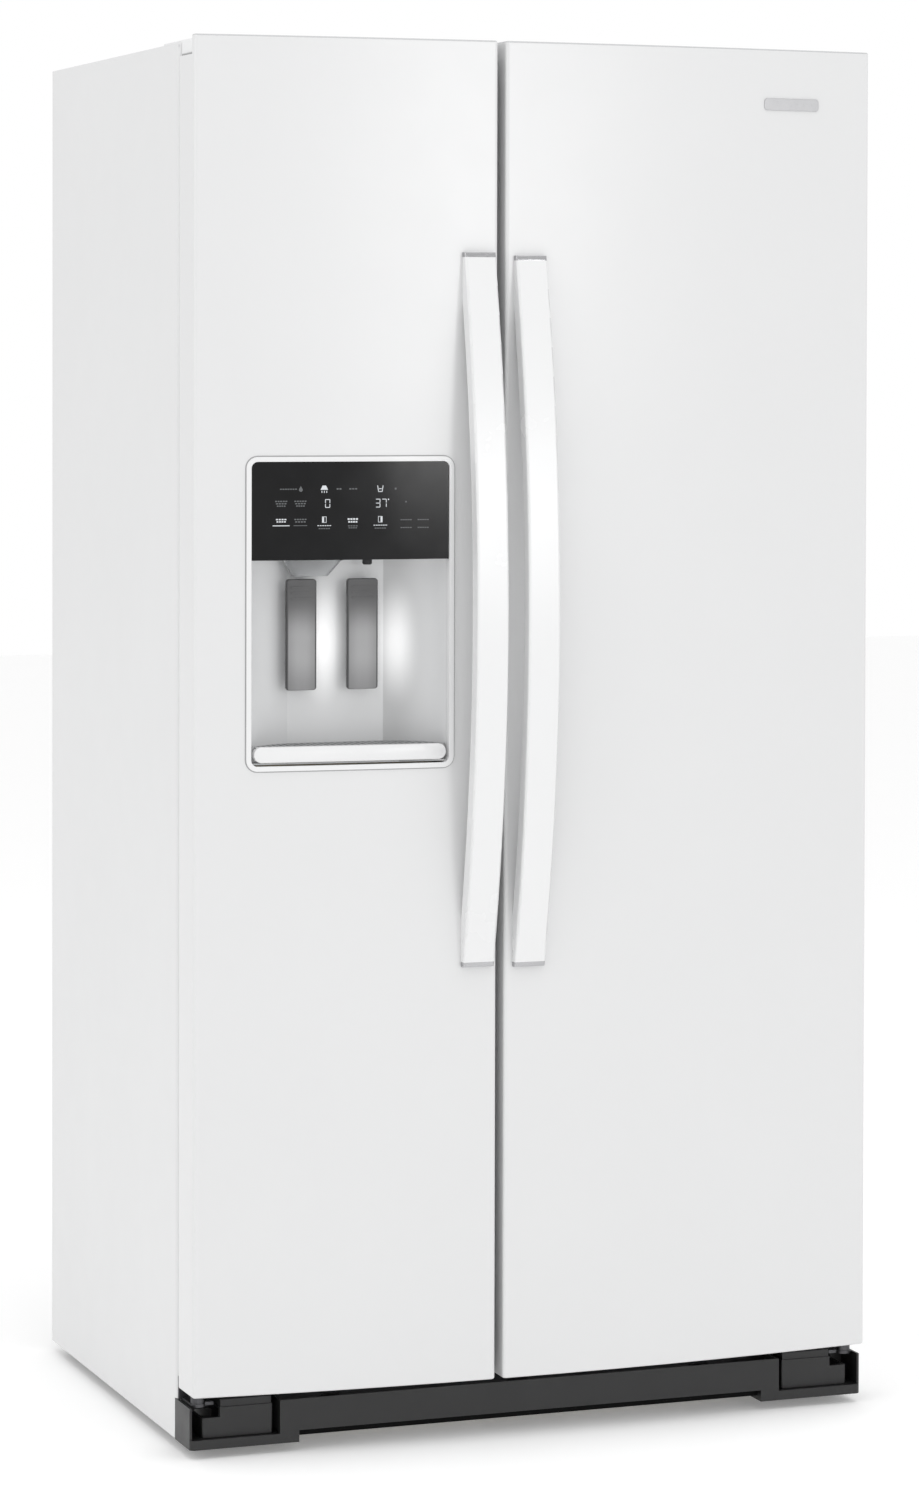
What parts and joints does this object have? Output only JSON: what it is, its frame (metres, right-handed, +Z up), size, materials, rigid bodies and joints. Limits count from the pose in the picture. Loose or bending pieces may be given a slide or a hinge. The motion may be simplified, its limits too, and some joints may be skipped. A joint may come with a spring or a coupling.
{
  "type": "side by side refrigerator",
  "caption": "White side by side refrigerator with bowed doors, arched handles and an ice and water dispenser in the freezer door.",
  "frame": {"origin": "on the floor, at the centre of the overall width and of the overall depth including the handles", "axes": "+X to the viewer's right, -Y out of the doors, +Z up"},
  "size_m": [0.902, 0.74, 1.74],
  "materials": {
    "white_paint": "gloss white enamel",
    "side_paint": "fine textured white enamel",
    "zinc_sheet": "galvanised sheet",
    "foam": "rigid foam",
    "liner_plastic": "moulded white",
    "white_plastic": "gloss white",
    "handle_white": "gloss white",
    "handle_metal": "satin",
    "charcoal_plastic": "satin dark grey",
    "black_steel": "satin black",
    "bare_steel": "zinc plated",
    "compressor_black": "satin black",
    "coil_aluminium": "mill finish",
    "wire_white": "coated wire",
    "shelf_glass": "clear with white rim",
    "clear_plastic": "clear",
    "grey_plastic": "grey",
    "niche_grey": "light grey",
    "paddle_grey": "translucent grey",
    "black_glass": "gloss black",
    "gasket_rubber": "soft white",
    "roller_plastic": "dark grey",
    "brass_valve": "white"
  },
  "bodies": {
    "cabinet": {"side_panels": "side_paint", "top_panel": "side_paint", "back_panel": "zinc_sheet", "cabinet_insulation": "foam", "freezer_liner": "liner_plastic", "refrigerator_liner": "liner_plastic", "base_frame": "black_steel", "base_grille": "charcoal_plastic", "lower_hinges": "black_steel", "upper_hinges": "bare_steel", "hinge_covers": "white_plastic", "roller_housings": "charcoal_plastic", "compressor": "compressor_black", "condenser": "black_steel", "condenser_fan_motor": "grey_plastic", "drain_pan": "grey_plastic", "machine_cover": "zinc_sheet", "evaporator": "coil_aluminium", "evaporator_cover": "liner_plastic", "freezer_shelves": "wire_white", "refrigerator_shelves": "shelf_glass", "control_housing": "white_plastic", "ice_maker": "grey_plastic", "ice_bin": "clear_plastic", "water_valve": "brass_valve", "power_inlet": "roller_plastic", "cabinet_screws": "bare_steel"},
    "freezer_door": {"freezer_door_panel": "white_paint", "freezer_door_insulation": "foam", "freezer_door_liner": "liner_plastic", "freezer_door_gasket": "gasket_rubber", "freezer_handle": "handle_white", "freezer_handle_ends": "handle_metal", "freezer_door_bins": "clear_plastic", "dispenser_bezel": "white_plastic", "dispenser_panel": "black_glass", "dispenser_niche": "niche_grey", "ice_chute": "clear_plastic", "water_nozzle": "roller_plastic"},
    "refrigerator_door": {"refrigerator_door_panel": "white_paint", "refrigerator_door_insulation": "foam", "refrigerator_door_liner": "liner_plastic", "refrigerator_door_gasket": "gasket_rubber", "refrigerator_handle": "handle_white", "refrigerator_handle_ends": "handle_metal", "refrigerator_door_bins": "clear_plastic"},
    "ice_paddle": {"ice_paddle": "paddle_grey"},
    "water_paddle": {"water_paddle": "paddle_grey"},
    "drip_tray": {"drip_tray": "white_plastic"},
    "chute_flap": {"chute_flap": "grey_plastic"},
    "crisper_upper": {"crisper_drawer_upper": "clear_plastic"},
    "crisper_lower": {"crisper_drawer_lower": "clear_plastic"},
    "freezer_basket": {"freezer_basket": "white_plastic"},
    "auger": {"auger": "bare_steel"},
    "evaporator_fan": {"evaporator_fan": "roller_plastic"},
    "condenser_fan": {"condenser_fan": "roller_plastic"},
    "front_rollers": {"front_rollers": "roller_plastic"},
    "rear_rollers": {"rear_rollers": "roller_plastic"},
    "brake_foot_left": {"brake_foot_left": "roller_plastic"},
    "brake_foot_right": {"brake_foot_right": "roller_plastic"}
  },
  "joints": [
    {"name": "freezer_door_hinge", "type": "hinge", "parent": "cabinet", "child": "freezer_door", "pos_m": [-0.436, -0.258, 0.9], "axis": [0, 0, -1], "range_deg": [0, 120]},
    {"name": "refrigerator_door_hinge", "type": "hinge", "parent": "cabinet", "child": "refrigerator_door", "pos_m": [0.436, -0.258, 0.9], "axis": [0, 0, 1], "range_deg": [0, 120]},
    {"name": "ice_paddle_press", "type": "hinge", "parent": "freezer_door", "child": "ice_paddle", "pos_m": [-0.3055, -0.253, 1.066], "axis": [1, 0, 0], "range_deg": [0, 5.5], "stiffness_Nm_per_rad": 0.3, "springref_deg": -5.73},
    {"name": "water_paddle_press", "type": "hinge", "parent": "freezer_door", "child": "water_paddle", "pos_m": [-0.226, -0.253, 1.066], "axis": [1, 0, 0], "range_deg": [0, 5.5], "stiffness_Nm_per_rad": 0.3, "springref_deg": -5.73},
    {"name": "drip_tray_slide", "type": "slide", "parent": "freezer_door", "child": "drip_tray", "axis": [0, -1, 0], "range_m": [0, 0.045]},
    {"name": "chute_flap_swing", "type": "hinge", "parent": "freezer_door", "child": "chute_flap", "pos_m": [-0.29, -0.2335, 1.315], "axis": [-1, 0, 0], "range_deg": [0, 25], "stiffness_Nm_per_rad": 0.05, "springref_deg": -11.46},
    {"name": "crisper_upper_slide", "type": "slide", "parent": "cabinet", "child": "crisper_upper", "axis": [0, -1, 0], "range_m": [0, 0.033]},
    {"name": "crisper_lower_slide", "type": "slide", "parent": "cabinet", "child": "crisper_lower", "axis": [0, -1, 0], "range_m": [0, 0.033]},
    {"name": "freezer_basket_slide", "type": "slide", "parent": "cabinet", "child": "freezer_basket", "axis": [0, -1, 0], "range_m": [0, 0.04]},
    {"name": "auger_spin", "type": "hinge", "parent": "cabinet", "child": "auger", "pos_m": [-0.29, 0.06, 1.283], "axis": [0, 1, 0], "continuous": true},
    {"name": "evaporator_fan_spin", "type": "hinge", "parent": "cabinet", "child": "evaporator_fan", "pos_m": [-0.246, 0.271, 0.9], "axis": [0, 1, 0], "continuous": true},
    {"name": "condenser_fan_spin", "type": "hinge", "parent": "cabinet", "child": "condenser_fan", "pos_m": [-0.043, 0.272, 0.166], "axis": [1, 0, 0], "continuous": true},
    {"name": "front_rollers_roll", "type": "hinge", "parent": "cabinet", "child": "front_rollers", "pos_m": [0, -0.16, 0.021], "axis": [1, 0, 0], "continuous": true},
    {"name": "rear_rollers_roll", "type": "hinge", "parent": "cabinet", "child": "rear_rollers", "pos_m": [0, 0.325, 0.021], "axis": [1, 0, 0], "continuous": true},
    {"name": "brake_foot_left_turn", "type": "hinge", "parent": "cabinet", "child": "brake_foot_left", "pos_m": [-0.372, -0.196, 0], "axis": [0, 0, 1], "continuous": true},
    {"name": "brake_foot_right_turn", "type": "hinge", "parent": "cabinet", "child": "brake_foot_right", "pos_m": [0.372, -0.196, 0], "axis": [0, 0, 1], "continuous": true}
  ]
}
